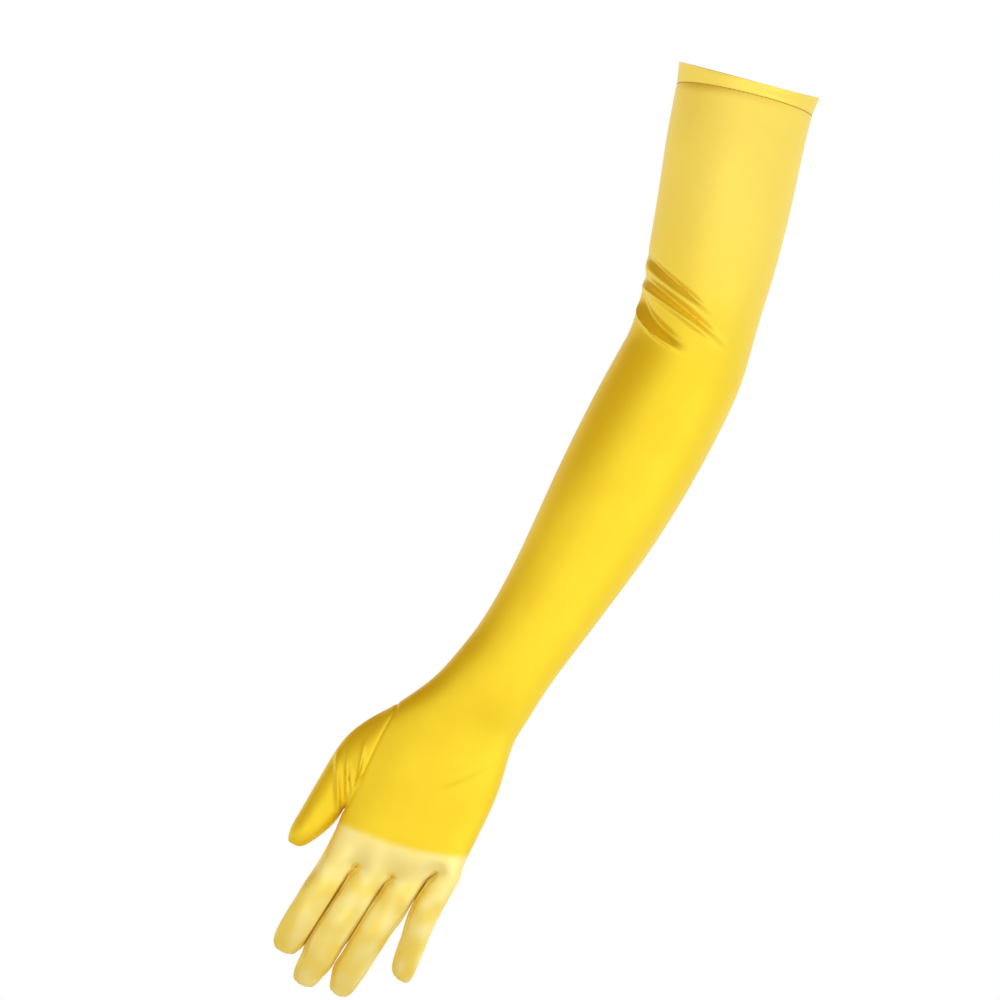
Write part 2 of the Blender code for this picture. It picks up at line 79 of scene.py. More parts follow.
# Each section follows one of the widths: wide is its share of it, deep its depth for its width, bow its share
# of the elbow's bow, and lift how far it lies towards the palm's side.
Section = namedtuple("Section", "down bow follows wide deep lift")
SLEEVE = (
    Section(0.000, 0.000, CUFF_WIDTH, 1.000, 0.96, 0.00),
    Section(0.025, 0.048, CUFF_WIDTH, 0.956, 0.97, 0.00),
    Section(0.063, 0.122, CUFF_WIDTH, 0.947, 0.98, 0.00),
    Section(0.125, 0.295, CUFF_WIDTH, 0.948, 0.99, 0.01),
    Section(0.200, 0.498, CUFF_WIDTH, 0.914, 1.00, 0.02),
    Section(0.275, 0.670, CUFF_WIDTH, 0.892, 1.02, 0.03),
    Section(0.350, 0.835, CUFF_WIDTH, 0.840, 1.06, 0.05),
    Section(0.400, 0.925, FOREARM_WIDTH, 0.940, 1.06, 0.06),
    Section(0.450, 0.995, FOREARM_WIDTH, 0.962, 1.03, 0.06),
    Section(0.500, 1.000, FOREARM_WIDTH, 0.994, 0.99, 0.05),
    Section(0.550, 0.985, FOREARM_WIDTH, 1.002, 0.97, 0.04),
    Section(0.625, 0.962, FOREARM_WIDTH, 0.992, 0.95, 0.02),
    Section(0.700, 0.930, FOREARM_WIDTH, 0.962, 0.93, 0.00),
    Section(0.775, 0.888, FOREARM_WIDTH, 0.905, 0.90, -0.01),
    Section(0.850, 0.825, FOREARM_WIDTH, 0.822, 0.87, -0.02),
    Section(0.925, 0.752, WRIST_WIDTH, 1.058, 0.84, -0.02),
    Section(1.000, 0.650, WRIST_WIDTH, 1.000, 0.82, 0.00),
)
SleeveWidth = namedtuple("SleeveWidth", "down width")
SLEEVE_WIDTHS = tuple(SleeveWidth(s.down, s.follows * s.wide) for s in SLEEVE)


def curve_value(rows, key, column, at):
    """A smooth curve through one column of a table, read at a value of its key column."""
    keys = [getattr(row, key) for row in rows]
    values = [getattr(row, column) for row in rows]
    i = max(k for k in range(len(keys) - 1) if k == 0 or keys[k] <= at)

    def slope(k):
        low, high = max(k - 1, 0), min(k + 1, len(keys) - 1)
        return (values[high] - values[low]) / (keys[high] - keys[low])

    span = keys[i + 1] - keys[i]
    t = (at - keys[i]) / span
    return (
        (2 * t**3 - 3 * t**2 + 1) * values[i]
        + (t**3 - 2 * t**2 + t) * span * slope(i)
        + (3 * t**2 - 2 * t**3) * values[i + 1]
        + (t**3 - t**2) * span * slope(i + 1)
    )


def swell(count):
    """Subdividing pulls a ring of count points inwards, so its cage is made this much larger."""
    return 3 / (2 + math.cos(2 * math.pi / count))


def sleeve_centre(down):
    """The middle of the form, at a share of the way down the sleeve."""
    width = curve_value(SLEEVE_WIDTHS, "down", "width", down)
    x = ELBOW_BOW * curve_value(SLEEVE, "down", "bow", down)
    return Vector((x, width * curve_value(SLEEVE, "down", "lift", down), -SLEEVE_LENGTH * down))


def sleeve_ring(down):
    """One section of the sleeve. Point 0 is just behind the thumb's side, and the back comes first."""
    low, high = max(down - DIRECTION_SPAN, 0), min(down + DIRECTION_SPAN, 1)
    along = sleeve_centre(high) - sleeve_centre(low)
    tilt = math.atan2(along.x, -along.z)
    across = Vector((math.cos(tilt), 0, math.sin(tilt)))
    half = curve_value(SLEEVE_WIDTHS, "down", "width", down) / 2 * swell(RING_POINTS)
    deep = curve_value(SLEEVE, "down", "deep", down)
    ring = []
    for index in range(RING_POINTS):
        angle = math.radians(180 + (index + 0.5) * 360 / RING_POINTS)
        turned = across * math.cos(angle) + Vector((0, math.sin(angle) * deep, 0))
        ring.append(sleeve_centre(down) + turned * half)
    return ring


def sleeve_stations():
    """Where the sleeve's rings lie: at the hem, and closer together where the elbow gathers."""
    stations = [0.0, HEM_HEIGHT / SLEEVE_LENGTH]
    ends = (stations[-1], *FOLD_ZONE, 1.0)
    for start, end, step in zip(ends, ends[1:], (SLEEVE_STEP, FOLD_STEP, SLEEVE_STEP)):
        count = round((end - start) * SLEEVE_LENGTH / step)
        stations += [start + (end - start) * (i + 1) / count for i in range(count)]
    return stations


# The form under the palm, the fingers and the thumb.
# The palm goes from the wrist's round section to a flat one as wide as the four fingers, which lie side by
# side. The rings part at the webs into four fingers, and the thumb grows from an opening in the palm's side.

PALM_LENGTH = 0.137
FINGER_LENGTH = 0.071
FINGER_WIDTH = 0.0180
FINGER_DEPTH = 0.0168
PALM_DEPTH = 0.0290
FINGER_GAP = 0.0009
MIDDLE_LEAN = -7.8
FINGER_TAPER = 0.03
FINGER_CURL = 0.0075
ROOT_LIFT = 0.24
PINCH_END = 0.32
SPLAY_START = 0.34
SIDE_FULL = 0.50
WEB_FULL = 0.72
WEB_BLEND = 0.60
PALM_SQUARE = 3.2
PALM_THIN = 0.55
MIDDLE = 1
FINGER_POINTS = 6
FINGER_RINGS = (0.09, 0.32, 0.56, 0.79, 0.93, 0.99, 1.012)

# Flat says how far a section of the palm has gone from round to flat. A finger's wide, deep, long and root
# are shares of the sizes above, pinch is the share of its width that is left at its root, and splay is in
# degrees.
PalmSection = namedtuple("PalmSection", "down bow wide deep lift flat")
PALM = (
    PalmSection(0.110, 0.565, 0.737, 1.30, 0.02, 0.10),
    PalmSection(0.215, 0.492, 0.772, 1.22, 0.06, 0.28),
    PalmSection(0.300, 0.382, 0.830, 1.15, 0.12, 0.48),
    PalmSection(0.390, 0.298, 0.965, 1.10, 0.17, 0.72),
    PalmSection(0.520, 0.330, 1.020, 1.05, 0.21, 0.92),
    PalmSection(0.660, 0.334, 1.022, 1.01, 0.26, 1.00),
    PalmSection(0.817, 0.337, 1.008, 0.92, 0.27, 1.00),
)
Finger = namedtuple("Finger", "name wide pinch deep long root splay curl")
FINGERS = (
    Finger("index", 0.995, 1.00, 1.00, 0.832, 0.990, 0.0, 0.7),
    Finger("middle", 0.980, 1.00, 1.02, 0.975, 1.000, 0.0, 1.0),
    Finger("ring", 0.925, 1.00, 0.98, 1.000, 0.965, 1.3, 1.3),
    Finger("little", 0.825, 0.85, 0.84, 0.868, 0.880, 10.4, 1.5),
)
Phalanx = namedtuple("Phalanx", "along wide deep aside")
FINGER_PROFILE = (
    Phalanx(0.00, 1.00, 1.00, 0.00),
    Phalanx(0.25, 0.98, 0.96, -0.01),
    Phalanx(0.42, 1.00, 1.00, -0.02),
    Phalanx(0.60, 0.98, 0.93, 0.00),
    Phalanx(0.72, 0.98, 0.92, 0.01),
    Phalanx(0.84, 0.97, 0.87, 0.03),
    Phalanx(0.93, 0.90, 0.77, 0.06),
    Phalanx(0.99, 0.64, 0.54, 0.09),
    Phalanx(1.02, 0.34, 0.30, 0.10),
)


def smooth_step(t):
    t = min(max(t, 0.0), 1.0)
    return t * t * (3 - 2 * t)


def finger_width(finger, fall):
    """How wide a finger is, this far below its root."""
    length = FINGER_LENGTH * finger.long
    pinched = finger.pinch + (1 - finger.pinch) * smooth_step(fall / (PINCH_END * length))
    return FINGER_WIDTH * finger.wide * pinched * (1 - FINGER_TAPER * fall / length)


def root_z(finger):
    return -SLEEVE_LENGTH - PALM_LENGTH * finger.root


def knuckle_width():
    return sum(FINGER_WIDTH * f.wide * f.pinch for f in FINGERS) + FINGER_GAP * (len(FINGERS) - 1)


def finger_x(number, z):
    """A finger's centre at a height. The middle one leans, and each other one lies against its neighbour."""
    finger = FINGERS[number]
    if number == MIDDLE:
        left = ELBOW_BOW * PALM[-1].bow - knuckle_width() / 2
        before = sum(FINGER_WIDTH * f.wide + FINGER_GAP for f in FINGERS[:MIDDLE])
        middle = left + before + FINGER_WIDTH * finger.wide / 2
        return middle + math.tan(math.radians(MIDDLE_LEAN)) * (root_z(finger) - z)
    side = 1 if number > MIDDLE else -1
    neighbour = FINGERS[number - side]
    widths = finger_width(finger, root_z(finger) - z) + finger_width(neighbour, root_z(neighbour) - z)
    opened = max(root_z(finger) - z - SPLAY_START * FINGER_LENGTH * finger.long, 0)
    apart = widths / 2 + FINGER_GAP + math.tan(math.radians(finger.splay)) * opened
    return finger_x(number - side, z) + side * apart


def finger_ring(number, roots, along):
    """The points round a finger. roots holds those at its root, and along is 0 there and 1 at the tip."""
    finger = FINGERS[number]
    tip = root_z(finger) - FINGER_LENGTH * finger.long
    wide = curve_value(FINGER_PROFILE, "along", "wide", along)
    deep = curve_value(FINGER_PROFILE, "along", "deep", along)
    ring = []
    for index, root in enumerate(roots):
        angle = math.radians(180 + (index + 0.5) * 360 / FINGER_POINTS)
        z = root.z + (tip - root.z) * along
        half_width = finger_width(finger, root_z(finger) - z) / 2 * wide * swell(FINGER_POINTS)
        half_depth = FINGER_DEPTH * finger.deep / 2 * (1 - FINGER_TAPER * along) * deep
        half_depth *= swell(FINGER_POINTS)
        x = finger_x(number, z) + FINGER_WIDTH * curve_value(FINGER_PROFILE, "along", "aside", along)
        y = PALM_DEPTH * ROOT_LIFT + FINGER_CURL * finger.curl * along**2
        ring.append(Vector((x + math.cos(angle) * half_width, y + math.sin(angle) * half_depth, z)))
    return ring


def root_row():
    """The ring of points where the fingers part, which runs up and down with the webs between them."""
    points = [None] * RING_POINTS
    for column in range(BACK_POINTS):
        number = min(column // 2, len(FINGERS) - 1)
        finger = FINGERS[number]
        beside = [finger] if column % 2 else [
            FINGERS[n] for n in (column // 2 - 1, column // 2) if 0 <= n < len(FINGERS)
        ]
        z = max(root_z(f) for f in beside)
        half = finger_width(finger, 0) / 2
        edge = half * math.cos(math.pi / FINGER_POINTS) * swell(FINGER_POINTS)
        centre = finger_x(number, z)
        if column % 2:
            x, full = centre, 1.0
        elif column in (0, BACK_POINTS - 1):
            x, full = centre + (edge if column else -edge), SIDE_FULL
        else:
            x, full = centre - half - FINGER_GAP / 2, WEB_FULL
        depth = FINGER_DEPTH * finger.deep / 2 * swell(FINGER_POINTS) * full
        points[column] = Vector((x, PALM_DEPTH * ROOT_LIFT - depth, z))
        points[RING_POINTS - 1 - column] = Vector((x, PALM_DEPTH * ROOT_LIFT + depth, z))
    return points


def palm_rows():
    """Rings from just below the wrist to the finger roots."""
    centre = sleeve_centre(1.0)
    width = WRIST_WIDTH * SLEEVE[-1].wide
    depth = width * SLEEVE[-1].deep
    roots = root_row()
    left, right = roots[0].x, roots[BACK_POINTS - 1].x
    shapes = []
    for index, point in enumerate(sleeve_ring(1.0)):
        column = min(index, RING_POINTS - 1 - index)
        share = (roots[column].x - left) / (right - left) - 0.5
        bulge = 0.5 * (1 - abs(2 * share) ** PALM_SQUARE * PALM_THIN) * swell(RING_POINTS)
        flat = Vector((share * swell(RING_POINTS), -bulge if index < BACK_POINTS else bulge, 0.0))
        wrist = Vector(((point.x - centre.x) / width, (point.y - centre.y) / depth, point.z - centre.z))
        shapes.append((wrist, flat))
    rows = []
    for section in PALM:
        z = -SLEEVE_LENGTH - PALM_LENGTH * section.down
        middle = Vector((ELBOW_BOW * section.bow, PALM_DEPTH * section.lift, z))
        size = Vector((knuckle_width() * section.wide, PALM_DEPTH * section.deep, 1.0))
        rows.append([middle + wrist.lerp(flat, section.flat) * size for wrist, flat in shapes])
    blend = [(a + b) / 2 for a, b in zip(rows[-1], roots)]
    for index, point in enumerate(blend):
        column = min(index, RING_POINTS - 1 - index)
        if column % 2 == 0 and 0 < column < BACK_POINTS - 1:
            point.y += (rows[-1][index].y - point.y) * WEB_BLEND
    return rows + [blend, roots]


THUMB_DROP = 0.0885
THUMB_REACH = 0.0198
THUMB_DEPTH = 0.0225
THUMB_FIRST_ROW = 3
THUMB_LAST_ROW = 6

# Each ring of the thumb lies between an outer and an inner point, so far out from the palm's side and down.
ThumbRing = namedtuple("ThumbRing", "outer_out outer_down inner_out inner_down lift deep")
THUMB = (
    ThumbRing(0.24, 0.085, 0.01, 0.690, 0.42, 0.90),
    ThumbRing(0.54, 0.190, 0.01, 0.720, 0.49, 0.90),
    ThumbRing(0.82, 0.320, 0.02, 0.755, 0.53, 0.90),
    ThumbRing(0.90, 0.500, 0.06, 0.815, 0.54, 0.88),
    ThumbRing(0.97, 0.710, 0.18, 0.876, 0.51, 0.82),
    ThumbRing(1.03, 0.880, 0.36, 0.948, 0.44, 0.70),
    ThumbRing(1.03, 0.965, 0.50, 1.000, 0.41, 0.52),
    ThumbRing(0.95, 1.010, 0.68, 1.018, 0.39, 0.32),
)


def thumb_loop():
    """Where the thumb is sewn in: (row, point) of the palm's rings, round its opening."""
    rows = range(THUMB_FIRST_ROW, THUMB_LAST_ROW + 1)
    side, palm = RING_POINTS - 1, RING_POINTS - 2
    down = [(row, 0) for row in rows]
    up = [(row, palm) for row in reversed(rows)]
    return down + [(THUMB_LAST_ROW, side)] + up + [(THUMB_FIRST_ROW, side)]


def thumb_rings(side_x, top_z):
    """The thumb's rings, from the palm's side to the tip, each between an outer and an inner point."""
    count = len(thumb_loop())
    rings = []
    for row in THUMB:
        outer = Vector((side_x - THUMB_REACH * row.outer_out, 0, top_z - THUMB_DROP * row.outer_down))
        inner = Vector((side_x - THUMB_REACH * row.inner_out, 0, top_z - THUMB_DROP * row.inner_down))
        centre = (outer + inner) / 2 + Vector((0, THUMB_DEPTH * row.lift, 0))
        half = (outer - inner) / 2
        deep = Vector((0, THUMB_DEPTH * row.deep / 2, 0))
        turns = [2 * math.pi * (index + 1) / count for index in range(count)]
        rings.append([centre + (half * math.cos(t) - deep * math.sin(t)) * swell(count) for t in turns])
    return rings


# The satin on the form.
# The cage's faces are marked with the piece that they belong to, and carry a cloth map in metres: U round the
# glove and V down it, so that the weave keeps its scale. Three subdivisions make the skin.

TRANK, HEM, THUMB_PIECE = 0, 1, 2
FOURCHETTES = (3, 4, 5)
MARKS = 3 + len(FOURCHETTES)
TO_NEXT_FINGER = 2
TO_LAST_FINGER = 5
SKIN_LEVELS = 3
SLEEVE_ROUND = 0.200
FINGER_ROUND = 0.056
THUMB_ROUND = 0.070

cage = bmesh.new()
cloth_map = cage.loops.layers.uv.new("cloth")


def bridge(upper, lower, piece_of, round_length, v_top, v_bottom):
    """Faces between two rings. piece_of gives each face's piece, or None to leave it out."""
    count = len(upper)
    for index in range(count):
        piece = piece_of(index)
        if piece is None:
            continue
        after = (index + 1) % count
        face = cage.faces.new((upper[index], lower[index], lower[after], upper[after]))
        face.material_index = piece
        u = (index * round_length / count, (index + 1) * round_length / count)
        corners = ((u[0], v_top), (u[0], v_bottom), (u[1], v_bottom), (u[1], v_top))
        for loop, place in zip(face.loops, corners):
            loop[cloth_map].uv = place


def close_tip(ring, piece, v_tip):
    """Faces across a finger's end, from the points of its back to those of its front."""
    count = len(ring)
    for index in range(count // 2 - 1):
        across = (ring[count - 1 - index], ring[count - 2 - index])
        face = cage.faces.new((ring[index], *across, ring[index + 1]))
        face.material_index = piece
        for loop in face.loops:
            loop[cloth_map].uv = (loop.vert.co.x, v_tip + loop.vert.co.y)


def add_ring(points):
    return [cage.verts.new(point) for point in points]


stations = sleeve_stations()
upper = add_ring(sleeve_ring(0.0))
for number, (start, end) in enumerate(zip(stations, stations[1:])):
    lower = add_ring(sleeve_ring(end))
    piece = TRANK if number else HEM
    bridge(upper, lower, lambda index: piece, SLEEVE_ROUND, SLEEVE_LENGTH * start, SLEEVE_LENGTH * end)
    upper = lower

palm = [upper] + [add_ring(row) for row in palm_rows()]
for number, (above, below) in enumerate(zip(palm, palm[1:]), -1):
    side_open = THUMB_FIRST_ROW <= number < THUMB_LAST_ROW
    v_top = SLEEVE_LENGTH + PALM_LENGTH * (number + 1) / len(palm)
    bridge(
        above,
        below,
        lambda index: None if side_open and index >= RING_POINTS - 2 else TRANK,
        SLEEVE_ROUND,
        v_top,
        v_top + PALM_LENGTH / len(palm),
    )

last = RING_POINTS - 1
for number, finger in enumerate(FINGERS):
    columns = (2 * number, 2 * number + 1, 2 * number + 2)
    upper = [palm[-1][c] for c in columns] + [palm[-1][last - c] for c in reversed(columns)]
    starts = [v.co.copy() for v in upper]
    sides = {
        TO_NEXT_FINGER: FOURCHETTES[number] if number < len(FINGERS) - 1 else TRANK,
        TO_LAST_FINGER: FOURCHETTES[number - 1] if number else TRANK,
    }
    v_top = SLEEVE_LENGTH + PALM_LENGTH
    for along in FINGER_RINGS:
        lower = add_ring(finger_ring(number, starts, along))
        v_bottom = SLEEVE_LENGTH + PALM_LENGTH + FINGER_LENGTH * finger.long * along
        bridge(upper, lower, lambda index: sides.get(index, TRANK), FINGER_ROUND, v_top, v_bottom)
        upper, v_top = lower, v_bottom
    close_tip(upper, TRANK, v_top)

upper = [palm[row + 1][point] for row, point in thumb_loop()]
thumb_top = palm[THUMB_FIRST_ROW + 1][0].co.z
thumb_side = palm[THUMB_LAST_ROW + 1][0].co.x
v_top = 0.0
for number, points in enumerate(thumb_rings(thumb_side, thumb_top)):
    lower = add_ring(points)
    v_bottom = THUMB_DROP * (number + 1) / len(THUMB)
    bridge(upper, lower, lambda index: THUMB_PIECE, THUMB_ROUND, v_top, v_bottom)
    upper, v_top = lower, v_bottom
close_tip(upper, THUMB_PIECE, v_top)

bmesh.ops.recalc_face_normals(cage, faces=cage.faces)
cage_mesh = bpy.data.meshes.new("glove_cage")
cage.to_mesh(cage_mesh)
cage.free()
for number in range(MARKS):
    cage_mesh.materials.append(bpy.data.materials.new(f"piece_{number}"))
guide = bpy.data.objects.new("glove_cage", cage_mesh)
bpy.context.scene.collection.objects.link(guide)
smooth = guide.modifiers.new("Skin", "SUBSURF")
smooth.levels = smooth.render_levels = SKIN_LEVELS
bpy.context.view_layer.update()
evaluated = guide.evaluated_get(bpy.context.evaluated_depsgraph_get())
skin = bmesh.new()
skin.from_mesh(evaluated.to_mesh())
evaluated.to_mesh_clear()
bpy.data.objects.remove(guide)
for number in range(MARKS):
    bpy.data.materials.remove(bpy.data.materials[f"piece_{number}"])

# The folds. Satin has little stretch along its thread, so it gathers at the bent elbow: three sharp ridges
# run out of its crook with hollows between them, and small ones fan out of the thumb's root. Elsewhere the
# cloth only ripples, most over the knuckles and the finger joints.

Gather = namedtuple("Gather", "turn_a down_a turn_b down_b bend wide high gap spread hollow")
GATHERS = (
    Gather(-12.0, 0.336, 104.0, 0.386, 0.000, 0.0026, 0.0013, 0.0046, 0.0021, 0.0026),
    Gather(-16.0, 0.369, 126.0, 0.419, -0.004, 0.0018, 0.0022, 0.0037, 0.0028, 0.0027),
    Gather(-6.0, 0.396, 88.0, 0.453, 0.012, 0.0011, 0.0023, 0.0058, 0.0042, 0.0034),
    Gather(-104.0, 0.352, 8.0, 0.372, 0.004, 0.0028, 0.0011, 0.0045, 0.0028, 0.0009),
    Gather(-112.0, 0.396, -8.0, 0.400, -0.004, 0.0030, 0.0012, 0.0050, 0.0030, 0.0010),
    Gather(-86.0, 0.436, -6.0, 0.436, 0.000, 0.0030, 0.0006, 0.0050, 0.0030, 0.0005),
)
GATHER_ZONE = (0.27, 0.53)
FOLD_IN = 0.32
FOLD_OUT = 0.36
HOLLOW_NARROWS = 0.5
GAP_NARROWS = 0.3

Crease = namedtuple("Crease", "face x_a z_a x_b z_b wide high")
CREASES = (
    Crease(-1, -0.0385, -0.4095, -0.0262, -0.4345, 0.0014, 0.0026),
    Crease(-1, -0.0343, -0.4070, -0.0243, -0.4270, 0.0009, 0.0019),
    Crease(-1, -0.0320, -0.4085, -0.0230, -0.4235, 0.0008, 0.0017),
    Crease(-1, -0.0284, -0.3990, -0.0224, -0.4190, 0.0009, 0.0018),
    Crease(-1, -0.0258, -0.4060, -0.0226, -0.4200, 0.0007, 0.0009),
    Crease(-1, 0.0195, -0.3965, 0.0345, -0.3775, 0.0018, 0.0010),
    Crease(-1, 0.0175, -0.3895, 0.0285, -0.3775, 0.0014, 0.0007),
    Crease(-1, 0.0145, -0.4000, 0.0235, -0.3920, 0.0015, 0.0005),
    Crease(1, -0.0330, -0.4060, -0.0190, -0.4330, 0.0016, 0.0009),
    Crease(1, -0.0280, -0.3960, -0.0140, -0.4220, 0.0018, 0.0008),
    Crease(1, -0.0100, -0.3840, 0.0040, -0.4270, 0.0022, 0.0007),
    Crease(1, 0.0020, -0.4140, 0.0300, -0.4220, 0.0020, 0.0006),
    Crease(1, -0.0060, -0.3400, 0.0340, -0.3440, 0.0022, 0.0008),
    Crease(1, -0.0080, -0.3500, 0.0300, -0.3520, 0.0024, 0.0006),
    Crease(-1, 0.0130, -0.0230, 0.0370, -0.0350, 0.0016, 0.0004),
)
CREASE_PAST = 0.1
CREASE_REACH = 4
CREASE_FADE = 0.7
CREASE_EDGE = 0.05
CREASE_FACING = 0.4
TROUGH = 0.35
TROUGH_WIDE = 2.2

RIPPLE = 0.000396
RIPPLES_PER_M = Vector((42, 42, 11))
RIPPLE_START = Vector((0, 0, 3.7))
FINGER_RIPPLE = 0.000448
FINGER_RIPPLES_PER_M = Vector((120, 120, 75))
FINGER_RIPPLE_TOP = -0.425
FINGER_RIPPLE_FADE = 0.03


def gather_rise(point):
    """How far the elbow's gathers lift a point, measured on the unrolled sleeve.

    Each gather runs from a to b, in degrees round the sleeve and shares of its length. wide and high belong
    to its ridge, and gap, spread and hollow to the hollow beside it.
    """
    down = -point.z / SLEEVE_LENGTH
    if not GATHER_ZONE[0] < down < GATHER_ZONE[1]:
        return 0.0
    offset = point - sleeve_centre(down)
    turn = math.atan2(-offset.y, -offset.x)
    radius = FOREARM_WIDTH / 2
    here = Vector((turn * radius, down * SLEEVE_LENGTH))
    rise = 0.0
    for fold in GATHERS:
        start = Vector((math.radians(fold.turn_a) * radius, fold.down_a * SLEEVE_LENGTH))
        end = Vector((math.radians(fold.turn_b) * radius, fold.down_b * SLEEVE_LENGTH))
        line = end - start
        share = (here - start).dot(line) / line.length_squared
        if not 0 < share < 1:
            continue
        bow = fold.bend * SLEEVE_LENGTH * math.sin(math.pi * share)
        side = Vector((-line.y, line.x)).normalized()
        away = (here - start).dot(side) - bow
        fade = smooth_step(share / FOLD_IN) * smooth_step((1 - share) / FOLD_OUT)
        ridge = math.exp(-((away / fold.wide) ** 2))
        spread = fold.spread * (1 - HOLLOW_NARROWS * share)
        gap = fold.gap * (1 - GAP_NARROWS * share)
        hollow = math.exp(-(((away + gap) / spread) ** 2))
        rise += fade * (fold.high * ridge - fold.hollow * hollow)
    return rise


def crease_rise(point, normal):
    """How far the creases lift a point. Their face is -1 on the glove's back and 1 on its palm's side."""
    rise = 0.0
    for fold in CREASES:
        if normal.y * fold.face < CREASE_EDGE:
            continue
        start = Vector((fold.x_a, fold.z_a))
        line = Vector((fold.x_b, fold.z_b)) - start
        here = Vector((point.x, point.z)) - start
        share = here.dot(line) / line.length_squared
        if not -CREASE_PAST < share < 1 + CREASE_PAST:
            continue
        away = (here - line * share).length / fold.wide
        if away > CREASE_REACH:
            continue
        run = (share + CREASE_PAST) / (1 + 2 * CREASE_PAST)
        fade = math.sin(math.pi * min(max(run, 0), 1)) ** CREASE_FADE
        facing = smooth_step(normal.y * fold.face / CREASE_FACING)
        ridge = math.exp(-(away**2)) - TROUGH * math.exp(-((away / TROUGH_WIDE) ** 2))
        rise += fold.high * fade * facing * ridge
    return rise


def ripple(point):
    """Small uneven swells in the cloth, drawn out along the sleeve and closer together on the fingers."""
    finger = smooth_step((FINGER_RIPPLE_TOP - point.z) / FINGER_RIPPLE_FADE)
    long_swell = noise.noise(point * RIPPLES_PER_M + RIPPLE_START)
    short_swell = noise.noise(point * FINGER_RIPPLES_PER_M)
    return RIPPLE * long_swell * (1 - finger) + FINGER_RIPPLE * short_swell * finger


# Fingers side by side press each other flat, so only a thin slit shows between them. It is slanted, as the
# fingers are a little turned, and nothing shows through it.
FULLER = 1.28
CLOSE = 0.0040
SLIT = 0.0006
SLIT_SLANT = 0.20
SLIT_END = 0.78
SLIT_END_FADE = 0.17
ROOT_FADE = 0.008
ROOT_ROOM = FINGER_WIDTH / 6


def slit_at(number, z):
    """The middle of the slit between a finger and the next one, and how near the two come to each other."""
    near, far = FINGERS[number], FINGERS[number + 1]
    right = finger_x(number, z) + finger_width(near, root_z(near) - z) / 2
    left = finger_x(number + 1, z) - finger_width(far, root_z(far) - z) / 2
    shares = [(root_z(f) - z) / (FINGER_LENGTH * f.long) for f in (near, far)]
    beside = 1 - smooth_step((max(shares) - SLIT_END) / SLIT_END_FADE)
    return (right + left) / 2, beside * (1 - smooth_step((left - right - FINGER_GAP) / CLOSE))


thumb_verts = {v for f in skin.faces if f.material_index == THUMB_PIECE for v in f.verts}
for vert in skin.verts:
    spot = vert.co
    if spot.z > root_z(FINGERS[-1]) or vert in thumb_verts:
        continue
    slits = [slit_at(n, spot.z) for n in range(len(FINGERS) - 1)]
    number = sum(spot.x > slit for slit, close in slits)
    finger = FINGERS[number]
    centre = finger_x(number, spot.z)
    towards = number - 1 if spot.x < centre else number
    close = slits[towards][1] if 0 <= towards < len(slits) else 0.0
    web = max(root_z(f) for f in (finger, *FINGERS[max(towards, 0) : towards + 2]))
    fade = smooth_step((web - spot.z) / ROOT_FADE)
    if fade == 0:
        continue
    x = centre + (spot.x - centre) * (1 + (FULLER - 1) * fade * close)
    slant = SLIT_SLANT * (spot.y - PALM_DEPTH * ROOT_LIFT - FINGER_CURL * finger.curl / 2)
    room = SLIT / 2 - (1 - fade) * ROOT_ROOM
    if number > 0:
        x = max(x, slits[number - 1][0] + slant + room)
    if number < len(slits):
        x = min(x, slits[number][0] + slant - room)
    spot.x = x

# The front of the cuff's edge hangs a little lower than its sides.
CUFF_DIP = 0.0050
cuff_way = (sleeve_centre(0.02) - sleeve_centre(0)).normalized()
for vert in skin.verts:
    level = 1 - (vert.co - sleeve_centre(0)).dot(cuff_way) / HEM_HEIGHT
    if level > 0:
        front = max(-vert.co.y / (CUFF_WIDTH / 2), 0)
        vert.co.z -= CUFF_DIP * level * front

skin.normal_update()
moves = [
    (v, v.normal * (gather_rise(v.co) + crease_rise(v.co, v.normal) + ripple(v.co)))
    for v in skin.verts
]
for vert, move in moves:
    vert.co += move

# The seams.
# The pieces are sewn edge to edge with the turnings inside, so each seam lies in a shallow groove, and its
# stitches pull the cloth into a faint pucker.

SEAM_DEPTH = 0.00060
SEAM_REACH = 0.0010
SEAM_END = 4 * SEAM_REACH
SAME_SIDE = -0.2
PUCKER = 0.00007
STITCH_PITCH = 0.0026

skin.normal_update()
skin.verts.ensure_lookup_table()
skin.faces.ensure_lookup_table()
seam_verts = [v for v in skin.verts if len({f.material_index for f in v.link_faces}) > 1]
seam_tree = kdtree.KDTree(len(seam_verts))
for number, vert in enumerate(seam_verts):
    seam_tree.insert(vert.co, number)
seam_tree.balance()
moves = []
for vert in skin.verts:
    near, number, distance = seam_tree.find(vert.co)
    if distance > SEAM_END or seam_verts[number].normal.dot(vert.normal) < SAME_SIDE:
        continue
    groove = math.exp(-((distance / SEAM_REACH) ** 2))
    pull = math.sin((vert.co.z + vert.co.x) * 2 * math.pi / STITCH_PITCH) * math.exp(-distance / SEAM_REACH)
    moves.append((vert, vert.normal * (PUCKER * pull - SEAM_DEPTH * groove)))
for vert, move in moves:
    vert.co += move
skin.normal_update()

# Woven polyester-elastane satin. Long floats of dyed filament yarn on its face give a soft, broad gloss that
# is yellow itself, so the shader is partly metallic, and that is stronger across the glove than along it.
# A paler colour is painted at the top of the sleeve and over the knuckles and fingers. It stands partly for
# the cloth's stretch there and partly for a painted highlight. Its back is duller, because the floats lie on
# the face.

SATIN_DEEP = "#F2D01A"
SATIN_BRIGHT = "#F9DB26"
# The pale colour of stretched cloth, which also serves as a painted highlight.
SATIN_STRETCHED_AND_HIGHLIGHT = "#FFF09E"
SATIN_BACK = "#E6B52A"
SATIN_ROUGHNESS = (0.35, 0.47)
SATIN_IOR = 1.46
SATIN_FACE = {
    "Metallic": 0.6,
    "Specular IOR Level": 0.7,
    "Anisotropic": 0.45,
    "Sheen Weight": 0.10,
    "Sheen Roughness": 0.35,
}
SATIN_DULL_ROUGHNESS = 0.72
